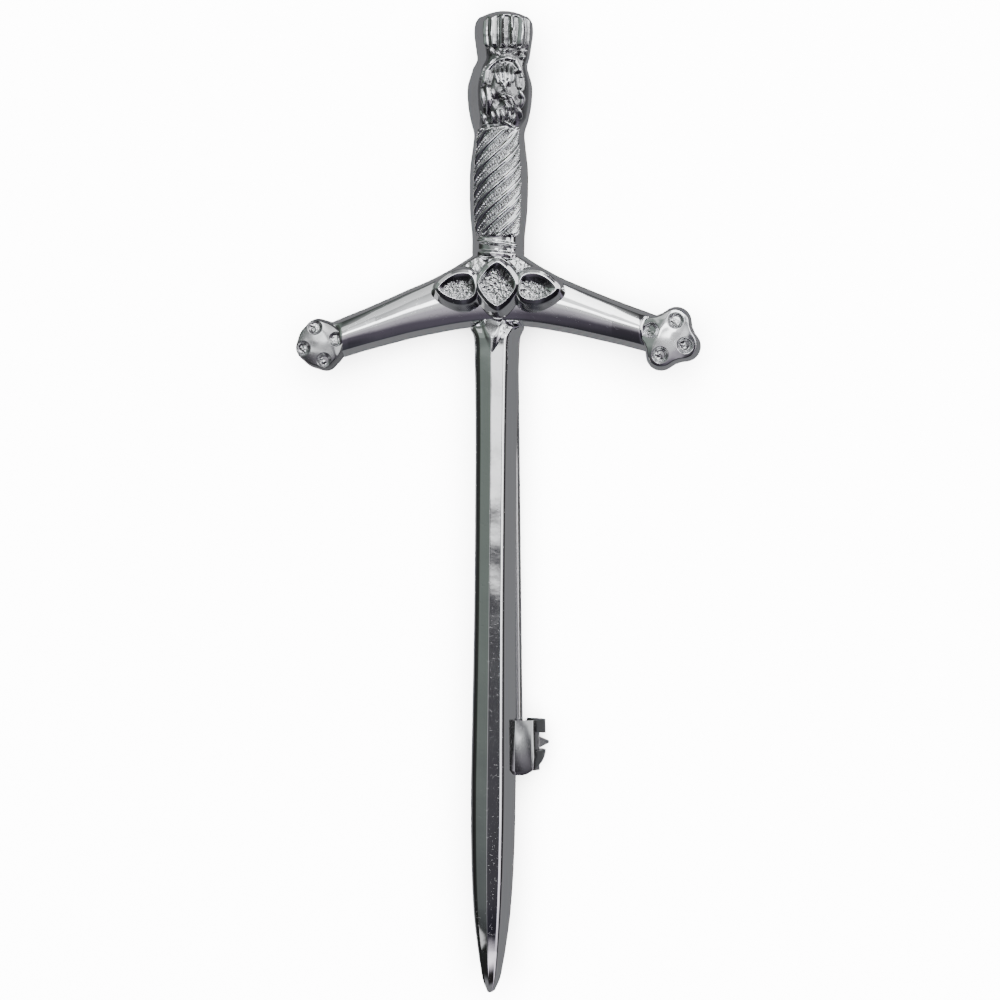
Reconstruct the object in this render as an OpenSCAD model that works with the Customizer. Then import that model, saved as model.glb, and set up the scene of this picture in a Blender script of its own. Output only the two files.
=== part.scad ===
// Kilt pin in the form of a small claymore with a thistle pommel.
// It lies face up on its two back fittings: X is across, Y runs to the pommel, Z is up to the face.

/* [Sword] */
// Length from the blade's point to the top of the thistle
overall_len = 100; // [85:1:120]
// Length of the handle, from the guard to the top of the thistle
handle_len = 25.2; // [20:0.2:32]
// Greatest width of the handle at its back, across the thistle's bulb
handle_w = 6.8; // [5.6:0.1:8.5]
// Height of the handle's sloping side wall
handle_wall_h = 1.2; // [0.8:0.1:1.6]
// Height of the handle's rounded face above its side wall
handle_crown_h = 1.5; // [1:0.1:2.2]
// Width of the smooth sloping flange on each side of the handle's face
flange_w = 0.7; // [0.5:0.05:0.9]
// How far the thistle's relief lies to the right of the middle of its outline
thistle_off = 0.4; // [0:0.05:0.45]

/* [Handle relief] */
// Number of rope strands round the whole grip
rope_starts = 8; // [5:1:9]
// Length of one full turn of the rope twist
rope_lead = 13.6; // [10:0.2:16]
// Height of the thick strands of the rope twist
rope_h = 0.34; // [0.2:0.02:0.5]
// Share of the pitch that a thick strand takes
strand_share = 0.64; // [0.5:0.02:0.8]
// Height of the thin cords between the strands
cord_h = 0.16; // [0.1:0.02:0.3]
// Height of the two rings of the collar
collar_h = 0.3; // [0.15:0.05:0.5]
// Height of the leaves and scales on the thistle
leaf_h = 0.38; // [0.2:0.02:0.6]
// Number of ribs on the tuft of the thistle
tuft_ribs = 7; // [5:1:9]
// Depth of the grooves between the tuft's ribs
tuft_groove = 0.3; // [0.1:0.02:0.5]

/* [Blade] */
// Greatest width of the blade at its back
blade_w = 4.66; // [4:0.02:6]
// Height of the blade's sloping side wall
blade_wall_h = 2.1; // [1.6:0.1:3]
// Height of the blade's middle ridge above its side wall
blade_ridge_h = 0.55; // [0.2:0.05:0.9]
// How far the blade's side walls lean in, taken over both sides
blade_draft = 0.6; // [0.5:0.05:0.7]
// How far the blade's facets lie to the left, so that its right wall slopes more
blade_lean = 0.4; // [0:0.05:0.45]

/* [Guard] */
// Width over both ends of the guard
guard_span = 41.6; // [34:0.2:50]
// Distance from the collar down to the guard's middle line
guard_drop = 3.8; // [3.4:0.1:4.4]
// Height of the guard where it crosses the blade, along the sword
guard_h = 6.6; // [5.6:0.1:8]
// How far the ends of the guard hang below its middle
guard_droop = 4.5; // [3:0.1:6.5]
// How far the whole guard is turned up at its right, in degrees
guard_tilt = 1.2; // [0:0.1:2]
// Height of the guard's side wall
guard_wall_h = 1.8; // [1.4:0.1:2.4]
// How far the guard's side walls lean in on each side
guard_draft = 0.55; // [0.3:0.05:0.7]
// Height of the guard's rounded face above its side wall
guard_crown_h = 0.5; // [0.2:0.05:0.8]
// Thickness of the four-lobed ends
end_h = 2.7; // [2.2:0.1:3.4]
// Radius of one lobe at the back
lobe_r = 1.3; // [1.1:0.05:1.5]
// Distance of each lobe from the middle of its end
lobe_out = 1.85; // [1.6:0.05:2.1]
// Radius of the round middle of each end
end_r = 2.5; // [2.2:0.05:2.8]
// How far the ends are turned, in degrees
end_turn = 20; // [10:1:30]
// Size of the face of each end as a share of its back
end_taper = 0.93; // [0.88:0.01:0.98]
// Radius of the round sunk dimple in each lobe
dimple_r = 0.75; // [0.5:0.05:0.85]
// How far the dimples' sides lean in
dimple_draft = 0.15; // [0.05:0.05:0.25]
// Depth of the dimples
dimple_depth = 0.4; // [0.2:0.05:0.6]

/* [Boss] */
// Distance from the collar down to the middle of the boss
boss_drop = 2.9; // [2.2:0.1:3.6]
// Half width of the middle lozenge
lozenge_x = 2.2; // [1.8:0.05:2.8]
// Half length of the middle lozenge, along the sword
lozenge_y = 2.6; // [2.2:0.05:3.2]
// Length of each side cell, from the lozenge outwards
cell_len = 4.8; // [3.6:0.1:6]
// Distance from the middle of the boss to the inner end of each side cell
cell_at = 1.6; // [1.3:0.1:2]
// How far the side cells lie below the middle of the boss
cell_drop = 0.3; // [0:0.05:0.5]
// How far the side cells point down outwards, in degrees
cell_droop = 5; // [0:1:8]
// Height of each side cell, along the sword
cell_h = 3.6; // [2.8:0.1:4.2]
// Width of the raised rims
rim_w = 0.5; // [0.35:0.05:0.7]
// Height of the boss's rims above the casting's back
boss_h = 3.2; // [2.9:0.1:3.8]
// How far the lozenge stands above the side cells
lozenge_rise = 0.1; // [0.02:0.02:0.3]
// Depth of the sunk cells below the rims
cell_depth = 0.5; // [0.2:0.05:0.8]
// Distance from the middle of the boss down to the root of the tongue
tongue_drop = 2.1; // [1.6:0.1:2.4]
// Width of the V-shaped tongue at its root
tongue_w = 3.0; // [2:0.1:3.2]
// Length of the V-shaped tongue below the boss
tongue_len = 4.4; // [3:0.1:6]
// Height of the tongue above the casting's back
tongue_h = 2.85; // [2.7:0.05:3.1]

/* [Pin stem] */
// Diameter of the pin stem
stem_d = 1.1; // [0.9:0.05:1.2]
// How far the sharp point reaches past the middle of the catch
point_past = 0.7; // [0.2:0.1:1.5]
// Length of the tapered point
point_len = 3.4; // [2.5:0.1:5]
// Radius of the end of the point
point_r = 0.07; // [0.05:0.01:0.12]
// Thickness of the flattened eye
eye_t = 1.35; // [1.2:0.05:1.6]
// Outer radius of the eye
eye_r = 1.5; // [1.3:0.05:1.7]
// Length of the flattened stretch, from the rivet
flat_len = 3.2; // [3:0.1:4.5]
// Height of the flattened stretch, along its flats
flat_h = 1.2; // [1.1:0.05:1.4]

/* [Hinge block] */
// Diameter of the rivet
rivet_d = 1.0; // [0.8:0.05:1.2]
// Radius of the rivet's domed heads
rivet_head_r = 0.9; // [0.75:0.05:1.1]
// Height of the rivet's domed heads
rivet_head_h = 0.35; // [0.2:0.05:0.5]
// Width of the hinge block over both ears
block_w = 5.6; // [4.8:0.1:6.2]
// Distance from the top of the handle down to the rivet
rivet_drop = 29.3; // [28.5:0.1:30.2]
// How far the rivet's middle lies to the right of the sword's middle
rivet_off = 1.3; // [0.6:0.1:1.6]

/* [Safety catch] */
// Outer radius of the catch's housing
housing_r = 2.9; // [2.7:0.05:3.3]
// Length of the housing, along the pin
housing_len = 5.6; // [5:0.1:7]
// Radius of the turning barrel
barrel_r = 2.25; // [2.1:0.05:2.4]
// Distance from the rivet to the middle of the catch
catch_reach = 46.0; // [43:0.1:47]
// How far the catch's middle lies to the right of the sword's middle
catch_off = 2.2; // [1.4:0.1:2.4]
// How far the barrel's ends lie inside the housing
barrel_inset = 0.4; // [0.2:0.05:0.6]
// How far the barrel turns from open to locked, in degrees
lock_angle = 100; // [80:5:110]
// Radius out to the tip of the thumb tab
tab_r = 3.2; // [3:0.05:3.4]
// Width of the thumb tab where it leaves the barrel
tab_w = 1.1; // [0.8:0.05:1.3]
// Width of the thumb tab at its tip
tab_tip_w = 0.28; // [0.2:0.02:0.5]
// How far the tab lies from the middle of the catch, towards the pommel
tab_at = 0.45; // [0.2:0.05:0.7]
// How far the tab points down to the back when open, in degrees
tab_dip = 20; // [10:1:25]
// Clear width of the housing's slot on each side of the tab
slot_gap = 0.2; // [0.1:0.05:0.35]
// How near the housing's window comes to the middle of the catch
window_in = 0.7; // [0.5:0.1:1]
// Distance from the middle of the catch at which the window is narrowest
window_out = 2.2; // [1.8:0.1:2.4]
// How far the window widens inwards on each side
window_flare = 0.75; // [0.4:0.05:0.9]
// Thickness that stays between the window and the casting
window_roof = 0.3; // [0.2:0.05:0.6]
// How far the back fittings reach into the casting
solder_sink = 0.28; // [0.1:0.02:0.4]

/* [Clearances] */
// Clearance round the rivet in the eye
eye_gap = 0.05; // [0.02:0.01:0.1]
// Clearance round the rivet in the ears
ear_gap = 0.015; // [0.01:0.005:0.03]
// Clearance on each side of the eye between the ears
side_gap = 0.06; // [0.03:0.01:0.1]
// Clearance round the turning barrel
barrel_gap = 0.05; // [0.02:0.01:0.1]
// Clearance on each side of the pin in the barrel's slit
slit_gap = 0.12; // [0.1:0.01:0.18]
// Clearance on each side of the pin in the housing's mouth
mouth_gap = 0.23; // [0.2:0.01:0.3]
// Height of the space for the cloth between the pin and the casting's back
cloth_gap = 1.85; // [1.6:0.05:2.4]

/* [Hidden] */
$fn = 64;
eps = 0.01;

top_y = overall_len / 2;
tip_y = -overall_len / 2;
collar_y = top_y - handle_len;
boss_y = collar_y - boss_drop;
guard_y = collar_y - guard_drop;
blade_root_y = guard_y - guard_h / 2;
blade_len = blade_root_y - tip_y;
stem_len = catch_reach + point_past;
slit_w = stem_d + 2 * slit_gap;
mouth_w = stem_d + 2 * mouth_gap;
pin_z = sqrt(pow(housing_r, 2) - pow(mouth_w / 2, 2));
back_z = pin_z + stem_d / 2 + cloth_gap;
rivet_y = top_y - rivet_drop;
slew = asin((catch_off - rivet_off) / catch_reach);
bore_r = barrel_r + barrel_gap;
slot_w = eye_t + 2 * side_gap;
slot_r = eye_r + 2 * side_gap;
block_r = pin_z;
tab_slot_w = tab_w + 2 * slot_gap;
barrel_len = housing_len - 2 * barrel_inset;
end_x = guard_span / 2 - lobe_out * cos(end_turn) - lobe_r;

// Bands of relief on the handle: [from, to, soft edge], all as shares of handle_len
ROPE_BAND = [0.065, 0.51, 0.015];
TUFT_BAND = [0.80, 1.00, 0.02];
THISTLE_BAND = [0.50, 1.00, 0.06];
COLLAR_BANDS = [[-0.01, 0.024, 0.008], [0.03, 0.062, 0.008]];
// Outline and swell of the handle, from its foot to its top:
// [share of handle_len, half width as a share of handle_w / 2, crown as a share of handle_crown_h]
HANDLE = [
    [-0.04, 0.78, 0.60], [0.00, 0.80, 0.72], [0.08, 0.81, 0.78], [0.18, 0.88, 0.92],
    [0.27, 0.90, 1.00], [0.36, 0.89, 0.96], [0.45, 0.81, 0.80], [0.50, 0.78, 0.72],
    [0.55, 0.88, 0.95], [0.64, 0.99, 1.25], [0.70, 0.98, 1.20], [0.745, 0.88, 0.95],
    [0.79, 0.80, 0.68], [0.84, 0.85, 0.76], [0.90, 0.92, 0.82], [0.94, 0.87, 0.74],
    [0.965, 0.76, 0.55], [0.985, 0.52, 0.30], [1.00, 0.30, 0.02]
];
// Outline of the blade, from the guard to the point:
// [share of blade_len, half width as a share of blade_w / 2, ridge as a share of blade_ridge_h]
BLADE = [
    [-0.06, 1.30, 1.0], [0.00, 1.22, 1.0], [0.02, 1.06, 1.0], [0.05, 0.99, 1.0], [0.10, 0.95, 1.0],
    [0.30, 0.91, 1.0], [0.45, 0.92, 1.0], [0.60, 0.97, 1.0], [0.70, 1.00, 1.0], [0.78, 0.97, 1.0],
    [0.84, 0.90, 1.0], [0.89, 0.79, 1.0], [0.93, 0.64, 0.97], [0.96, 0.50, 0.92],
    [0.985, 0.34, 0.84], [1.00, 0.14, 0.76]
];
// The guard's arm, from the sword's middle to the middle of its end:
// [share of end_x, drop of its middle line as a share of guard_droop, height as a share of guard_h]
ARM = [
    [0.00, 0.00, 1.00], [0.12, 0.02, 0.98], [0.25, 0.12, 0.92], [0.35, 0.22, 0.87], [0.46, 0.34, 0.81],
    [0.60, 0.51, 0.74], [0.74, 0.68, 0.68], [0.88, 0.85, 0.64], [1.00, 1.00, 0.50]
];
// Outline of a side cell, above its middle line, from its pointed to its round end:
// [share of half its length, share of half its height]
CELL = [
    [1.00, 0.00], [0.97, 0.15], [0.87, 0.34], [0.71, 0.54], [0.50, 0.73], [0.26, 0.89], [0.00, 1.00],
    [-0.26, 1.02], [-0.50, 0.98], [-0.71, 0.87], [-0.87, 0.69], [-0.97, 0.43], [-1.00, 0.00]
];
// Leaves and scales of the thistle's bulb:
// [share of handle_len, place across as a share of the half width, half length and half width
//  as shares of handle_w / 2, height as a share of leaf_h]
LEAVES = [
    [0.545, 0.00, 0.24, 0.15, 0.8], [0.550, 0.33, 0.24, 0.15, 0.8], [0.550, -0.33, 0.24, 0.15, 0.8],
    [0.560, 0.66, 0.26, 0.15, 0.8], [0.560, -0.66, 0.26, 0.15, 0.8], [0.600, 0.17, 0.30, 0.17, 1.0],
    [0.600, -0.17, 0.30, 0.17, 1.0], [0.610, 0.50, 0.32, 0.17, 1.0], [0.610, -0.50, 0.32, 0.17, 1.0],
    [0.680, 0.00, 0.42, 0.30, 1.3], [0.675, 0.62, 0.40, 0.20, 0.9], [0.675, -0.62, 0.40, 0.20, 0.9],
    [0.735, 0.34, 0.30, 0.17, 0.9], [0.735, -0.34, 0.30, 0.17, 0.9], [0.780, 0.00, 0.17, 0.20, 1.0],
    [0.785, 0.42, 0.17, 0.20, 1.0], [0.785, -0.42, 0.17, 0.20, 1.0], [0.785, 0.80, 0.17, 0.16, 0.8],
    [0.785, -0.80, 0.17, 0.16, 0.8]
];

// Value of a table's column at a share, rounded smoothly through the rows
function row_at(table, s) = max([for (i = [0 : len(table) - 2]) if (i == 0 || table[i][0] <= s) i]);
function slope(table, i, col) =
    let (a = max(i - 1, 0), b = min(i + 1, len(table) - 1))
    (table[b][col] - table[a][col]) / (table[b][0] - table[a][0]);
function look(table, s, col) =
    let (
        i = row_at(table, s),
        width = table[i + 1][0] - table[i][0],
        u = (s - table[i][0]) / width,
        v0 = table[i][col], v1 = table[i + 1][col],
        m0 = slope(table, i, col) * width, m1 = slope(table, i + 1, col) * width
    )
    (2 * pow(u, 3) - 3 * pow(u, 2) + 1) * v0 + (pow(u, 3) - 2 * pow(u, 2) + u) * m0
    + (3 * pow(u, 2) - 2 * pow(u, 3)) * v1 + (pow(u, 3) - pow(u, 2)) * m1;

// Solid through a list of rings that all have as many points
module loft(rings) {
    n = len(rings[0]);
    last = len(rings) - 1;
    sides = [for (r = [0 : last - 1], i = [0 : n - 1])
        let (a = r * n + i, b = r * n + (i + 1) % n, c = a + n, d = b + n)
        each [[a, b, d], [a, d, c]]];
    foot = [for (i = [1 : n - 2]) [0, i + 1, i]];
    head = [for (i = [1 : n - 2]) [last * n, last * n + i, last * n + i + 1]];
    polyhedron([for (ring = rings) each ring], concat(sides, foot, head));
}

// A window from 0 to 1 and back at a band's ends, with the band's soft edges
function between(s, band) =
    max(0, min(1, (s - band[0]) / band[2])) * max(0, min(1, (band[1] - s) / band[2]));

// Height of the rope twist: a thick strand and a thin cord for each start
function rope(y, turn) =
    let (f = y * rope_starts / rope_lead - turn * rope_starts / 360, p = f - floor(f))
    p < strand_share
        ? rope_h * sin(p / strand_share * 180)
        : cord_h * sin((p - strand_share) / (1 - strand_share) * 180);

// Height of the leaves: a dome for each row of the table
function leaves(s, across) = leaf_h * max([for (leaf = LEAVES)
    let (
        dy = (s - leaf[0]) * handle_len / (leaf[2] * handle_w / 2),
        dx = (across - leaf[1]) / leaf[3]
    )
    leaf[4] * sqrt(max(0, 1 - pow(dx, 2) - pow(dy, 2)))]);

// Height of all relief on the handle, at a share of its length and an angle round its face
function handle_relief(s, turn) = cos(turn) * (
    rope(s * handle_len, turn) * between(s, ROPE_BAND)
    + collar_h * (between(s, COLLAR_BANDS[0]) + between(s, COLLAR_BANDS[1]))
    + leaves(s, sin(turn))
    - tuft_groove * between(s, TUFT_BAND) * pow(cos(turn * tuft_ribs), 2)
);

// One cross-section of the handle: its flat back, its walls and its rounded face
function handle_ring(s, steps) =
    let (
        half = handle_w / 2 * look(HANDLE, s, 1),
        face = half - flange_w,
        off = thistle_off * between(s, THISTLE_BAND),
        crown = handle_crown_h * look(HANDLE, s, 2),
        y = collar_y + s * handle_len,
        wall_z = back_z + handle_wall_h
    )
    concat(
        [[0, y, back_z], [half, y, back_z]],
        [for (i = [0 : steps])
            let (turn = 90 - 180 * i / steps)
            [off + face * sin(turn), y, wall_z + crown * cos(turn) + handle_relief(s, turn)]],
        [[-half, y, back_z]]
    );

module handle() {
    steps = 26;
    stations = 84;
    first = HANDLE[0][0];
    loft([for (i = [0 : stations]) handle_ring(first + (1 - first) * i / stations, steps)]);
}

module blade() {
    stations = 40;
    first = BLADE[0][0];
    loft([for (i = [stations : -1 : 0])
        let (
            s = first + (1 - first) * (1 - pow(1 - i / stations, 1.5)),
            half = blade_w / 2 * look(BLADE, s, 1),
            slim = min(1, look(BLADE, s, 1)),
            right = half - (blade_draft + blade_lean) * slim,
            left = half - (blade_draft - blade_lean) * slim,
            y = blade_root_y - s * blade_len,
            edge_z = back_z + blade_wall_h
        )
        [[0, y, back_z], [half, y, back_z], [right, y, edge_z],
         [-blade_lean * slim, y, edge_z + blade_ridge_h * look(BLADE, s, 2)], [-left, y, edge_z],
         [-half, y, back_z]]]);
}

// One cross-section of the guard's arms at a distance from the middle
function arm_ring(x, steps) =
    let (
        s = abs(x) / end_x,
        half = guard_h / 2 * look(ARM, s, 2),
        mid = guard_y - guard_droop * look(ARM, s, 1),
        face = half - guard_draft,
        wall_z = back_z + guard_wall_h
    )
    concat(
        [[x, mid, back_z], [x, mid - half, back_z]],
        [for (i = [0 : steps])
            let (turn = 90 - 180 * i / steps)
            [x, mid - face * sin(turn), wall_z + guard_crown_h * cos(turn)]],
        [[x, mid + half, back_z]]
    );

module arms() {
    stations = 14;
    loft([for (i = [-stations : stations]) arm_ring(end_x * i / stations, 8)]);
}

module lobes(r) {
    circle(r = end_r, $fn = 24);
    for (turn = [0 : 90 : 270])
        rotate(turn) translate([lobe_out, 0]) circle(r = r, $fn = 24);
}

// A four-lobed end with its dimples, on the right side
module guard_end() {
    translate([end_x, guard_y - guard_droop, back_z]) rotate(-end_turn)
        difference() {
            linear_extrude(height = end_h, scale = end_taper) lobes(lobe_r);
            for (turn = [0 : 90 : 270])
                rotate(turn) translate([lobe_out * end_taper, 0, end_h - dimple_depth])
                    cylinder(h = dimple_depth + eps, r1 = dimple_r - dimple_draft, r2 = dimple_r);
        }
}

module guard() {
    translate([0, guard_y, 0]) rotate(guard_tilt) translate([0, -guard_y, 0]) {
        arms();
        guard_end();
        mirror([1, 0, 0]) guard_end();
    }
}

// Outline of a side cell: round at the lozenge and pointed outwards
function cell_outline(half_x, half_y) = concat(
    [for (row = CELL) [half_x * row[0], half_y * row[1]]],
    [for (i = [len(CELL) - 2 : -1 : 1]) [half_x * CELL[i][0], -half_y * CELL[i][1]]]);

module cell_plate(inset, height) {
    linear_extrude(height = height)
        polygon(cell_outline(cell_len / 2 - inset, cell_h / 2 - inset));
}

function lozenge(inset) = [[lozenge_x - inset, 0], [0, lozenge_y - inset], [inset - lozenge_x, 0],
    [0, inset - lozenge_y]];

// Places a side cell on the right
module at_cell() {
    translate([cell_at + cell_len / 2, -cell_drop, 0]) rotate(-cell_droop) children();
}

// The boss: two pointed side cells and the lozenge, each a raised rim round a sunk floor
module boss() {
    floor_z = boss_h - cell_depth;
    translate([0, boss_y, back_z])
        difference() {
            union() {
                for (side = [0, 1])
                    mirror([side, 0, 0]) at_cell() cell_plate(0, boss_h);
                linear_extrude(height = boss_h + lozenge_rise) polygon(lozenge(0));
            }
            for (side = [0, 1])
                mirror([side, 0, 0]) at_cell() translate([0, 0, floor_z])
                    cell_plate(rim_w, cell_depth + 1);
            translate([0, 0, floor_z]) linear_extrude(height = cell_depth + 1)
                polygon(lozenge(rim_w * sqrt(2)));
        }
}

// The V-shaped tongue that runs out of the boss onto the blade
module tongue() {
    translate([0, boss_y - tongue_drop, back_z])
        linear_extrude(height = tongue_h)
            polygon([[tongue_w / 2, 0], [-tongue_w / 2, 0], [0, -tongue_len]]);
}

// Places what lies in the pin's own frame: the rivet at the origin and the pin along -Y
module at_pin() {
    translate([rivet_off, rivet_y, pin_z]) rotate(slew) children();
}

module along_x(length, r) {
    rotate([0, 90, 0]) cylinder(h = length, r = r, center = true);
}

// Two round-ended ears that carry the rivet
module hinge_block() {
    at_pin() difference() {
        union() {
            along_x(block_w, block_r);
            translate([-block_w / 2, -block_r, 0])
                cube([block_w, 2 * block_r, back_z - pin_z + solder_sink]);
        }
        along_x(block_w + 1, rivet_d / 2 + ear_gap);
        translate([-slot_w / 2, -block_r - 1, -block_r - 1])
            cube([slot_w, block_r + slot_r + 1, block_r + slot_r + 1]);
    }
}

// Outline of the housing from the face: square to the pommel, rounded to the point
module housing_outline() {
    translate([-housing_r, 0]) square([2 * housing_r, housing_len / 2]);
    intersection() {
        circle(r = housing_r);
        translate([-housing_r, -housing_len / 2]) square([2 * housing_r, housing_len / 2 + eps]);
    }
}

// The part of the housing that is cut away at its right, so that the barrel and its tab show
module window_outline() {
    low = -tab_slot_w / 2 + tab_at;
    high = tab_slot_w / 2 + tab_at;
    polygon([[window_in, low - window_flare], [window_out, low], [housing_r + 1, low],
        [housing_r + 1, high], [window_out, high + window_flare / 2], [window_in, high + window_flare]]);
}

module along_y(length, r) {
    rotate([90, 0, 0]) cylinder(h = length, r = r, center = true);
}

// The fixed housing of the safety catch, with its mouth to the back
module housing() {
    slot_left = -tab_r * cos(tab_dip + lock_angle) + tab_w / 2 + slot_gap;
    at_pin() translate([0, -catch_reach, 0]) difference() {
        intersection() {
            along_y(housing_len, housing_r);
            translate([0, 0, -housing_r]) linear_extrude(height = 2 * housing_r) housing_outline();
        }
        along_y(housing_len + 1, bore_r);
        translate([-mouth_w / 2, -housing_len, -housing_r - 1])
            cube([mouth_w, 2 * housing_len, housing_r + 1]);
        translate([0, 0, -housing_r - 1])
            linear_extrude(height = housing_r + 1 + back_z - pin_z - window_roof) window_outline();
        translate([-slot_left, tab_at - tab_slot_w / 2, -housing_r - 1])
            cube([slot_left + housing_r + 1, tab_slot_w, housing_r + 1]);
    }
}

module sword() {
    color([0.80, 0.81, 0.82]) {
        handle();
        blade();
        guard();
        boss();
        tongue();
        hinge_block();
        housing();
    }
}

module pin_stem() {
    straight = stem_len - point_len - flat_len;
    color([0.72, 0.72, 0.74]) at_pin() difference() {
        union() {
            along_x(eye_t, eye_r);
            translate([-eye_t / 2, -flat_len, -flat_h / 2]) cube([eye_t, flat_len, flat_h]);
            translate([0, -flat_len + eps, 0]) rotate([90, 0, 0])
                cylinder(h = straight + eps, r = stem_d / 2);
            translate([0, -flat_len - straight, 0]) rotate([90, 0, 0])
                cylinder(h = point_len, r1 = stem_d / 2, r2 = point_r);
        }
        along_x(eye_t + 1, rivet_d / 2 + eye_gap);
    }
}

module rivet() {
    head_at = block_w / 2 + ear_gap;
    color([0.70, 0.70, 0.72]) at_pin() union() {
        along_x(2 * head_at + eps, rivet_d / 2);
        for (side = [-1, 1])
            translate([side * head_at, 0, 0]) rotate([0, side * 90, 0])
                cylinder(h = rivet_head_h, r1 = rivet_head_r, r2 = rivet_head_r - rivet_head_h);
    }
}

// The thumb tab, a blunt point out of the barrel
module tab() {
    root = barrel_r - tab_w / 2;
    rotate([0, tab_dip, 0]) translate([0, tab_at, -tab_w / 2])
        linear_extrude(height = tab_w)
            polygon([[root, -tab_w / 2], [barrel_r, -tab_w / 2], [tab_r, -tab_tip_w / 2],
                [tab_r, tab_tip_w / 2], [barrel_r, tab_w / 2], [root, tab_w / 2]]);
}

module catch_lock() {
    color([0.78, 0.79, 0.80]) at_pin() translate([0, -catch_reach, 0]) difference() {
        union() {
            along_y(barrel_len, barrel_r);
            tab();
        }
        along_y(barrel_len + 1, slit_w / 2);
        translate([-slit_w / 2, -barrel_len, -barrel_r - 1]) cube([slit_w, 2 * barrel_len, barrel_r + 1]);
    }
}

sword();
pin_stem();
rivet();
catch_lock();
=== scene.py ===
"""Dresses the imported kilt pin: a small chrome claymore with a thistle pommel, lying face up.

The cast sword is sculpted in pieces over its solid, each a fine sheet with its relief, and the
back fittings are cut from the solid itself and softened. The pin wire, its rivet and the catch's
barrel keep their solids and get a finish.
"""

import logging
import math
from contextlib import contextmanager
from dataclasses import dataclass, field
from enum import Enum
from functools import partial
from typing import Callable, Iterator, Sequence

import bpy
import numpy as np
from mathutils import Matrix, Vector, noise


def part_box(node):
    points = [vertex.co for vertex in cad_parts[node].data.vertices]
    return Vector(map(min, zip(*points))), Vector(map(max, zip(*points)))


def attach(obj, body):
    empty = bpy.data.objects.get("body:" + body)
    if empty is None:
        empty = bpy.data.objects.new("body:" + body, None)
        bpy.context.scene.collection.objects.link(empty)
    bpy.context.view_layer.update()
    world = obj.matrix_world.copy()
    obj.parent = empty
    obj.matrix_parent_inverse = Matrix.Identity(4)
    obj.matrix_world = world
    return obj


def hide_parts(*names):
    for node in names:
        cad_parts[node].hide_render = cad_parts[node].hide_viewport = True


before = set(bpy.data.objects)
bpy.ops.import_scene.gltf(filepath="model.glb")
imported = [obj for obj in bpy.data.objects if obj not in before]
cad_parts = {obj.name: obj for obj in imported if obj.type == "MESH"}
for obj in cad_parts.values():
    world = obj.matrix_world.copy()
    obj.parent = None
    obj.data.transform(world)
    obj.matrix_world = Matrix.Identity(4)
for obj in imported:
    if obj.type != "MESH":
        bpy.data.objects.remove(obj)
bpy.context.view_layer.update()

MM = 0.001
WELD = 0.001 * MM
SHEET_ANGLE = 60
log = logging.getLogger("kilt_pin")

Colour = tuple[float, float, float]
# Where a feature starts and ends, as shares of a length, and how long its soft ends are
Stretch = tuple[float, float, float]
# Points in metres, how stippled each is and how much painted shade and dulling each takes
Sculpted = tuple[np.ndarray, np.ndarray, np.ndarray]
Sculpting = Callable[[np.ndarray, np.ndarray], Sculpted]


class Slot(Enum):
    """The record's material slots."""

    CASTING = "plated_casting"
    STEEL = "steel"


@dataclass(frozen=True)
class Profile:
    """A table of sections, read smoothly at any share of its length.

    Args:
        rows: tuples of a share of the length and the values there, in rising order.
    """

    rows: Sequence[tuple[float, ...]]

    def at(self, share: np.ndarray, column: int) -> np.ndarray:
        """Reads one column with a smooth cubic through the rows.

        Args:
            share: where to read, as shares of the length.
            column: the column to read, from 1.

        Returns:
            The values there.
        """
        table = np.array(self.rows, float)
        place, value = table[:, 0], table[:, column]
        slope = np.gradient(value, place)
        index = np.clip(np.searchsorted(place, share, side="right") - 1, 0, len(place) - 2)
        width = place[index + 1] - place[index]
        u = np.clip((share - place[index]) / width, 0.0, 1.0)
        return (
            (2 * u**3 - 3 * u**2 + 1) * value[index]
            + (u**3 - 2 * u**2 + u) * slope[index] * width
            + (3 * u**2 - 2 * u**3) * value[index + 1]
            + (u**3 - u**2) * slope[index + 1] * width
        )


def casting_sizes() -> tuple[float, float]:
    """Measures the sword's solid.

    Returns:
        Its length and the height of its flat back, in metres.
    """
    low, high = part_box("sword")
    beyond_fittings = 0.35 * (high.x - low.x)
    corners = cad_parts["sword"].data.vertices
    return high.y - low.y, min(v.co.z for v in corners if abs(v.co.x) > beyond_fittings)


LENGTH, BACK_Z = casting_sizes()
HANDLE_LEN = 25.2 * MM
COLLAR_Y = LENGTH / 2 - HANDLE_LEN
GUARD_Y = COLLAR_Y - 3.8 * MM


def unit(values: np.ndarray) -> np.ndarray:
    """Clips values to between 0 and 1."""
    return np.clip(values, 0, 1)


def ease(values: np.ndarray) -> np.ndarray:
    """Clips values to between 0 and 1 and softens both ends of the rise."""
    values = unit(values)
    return values * values * (3 - 2 * values)


def window(share: np.ndarray, low: float, high: float, soft: float) -> np.ndarray:
    """Rises from 0 to 1 at the low end of a stretch and falls back at its high end, both softly."""
    return ease(unit((share - low) / soft) * unit((high - share) / soft))


def grain(points: np.ndarray, size: float, seed: float) -> np.ndarray:
    """Reads smooth noise of about -1 to 1 at points in metres; the seed shifts it, so that uses differ."""
    shift = Vector((seed, 2.3 * seed, 0.7 * seed))
    return np.array([noise.noise(Vector(p) / size + shift) for p in points])


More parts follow.
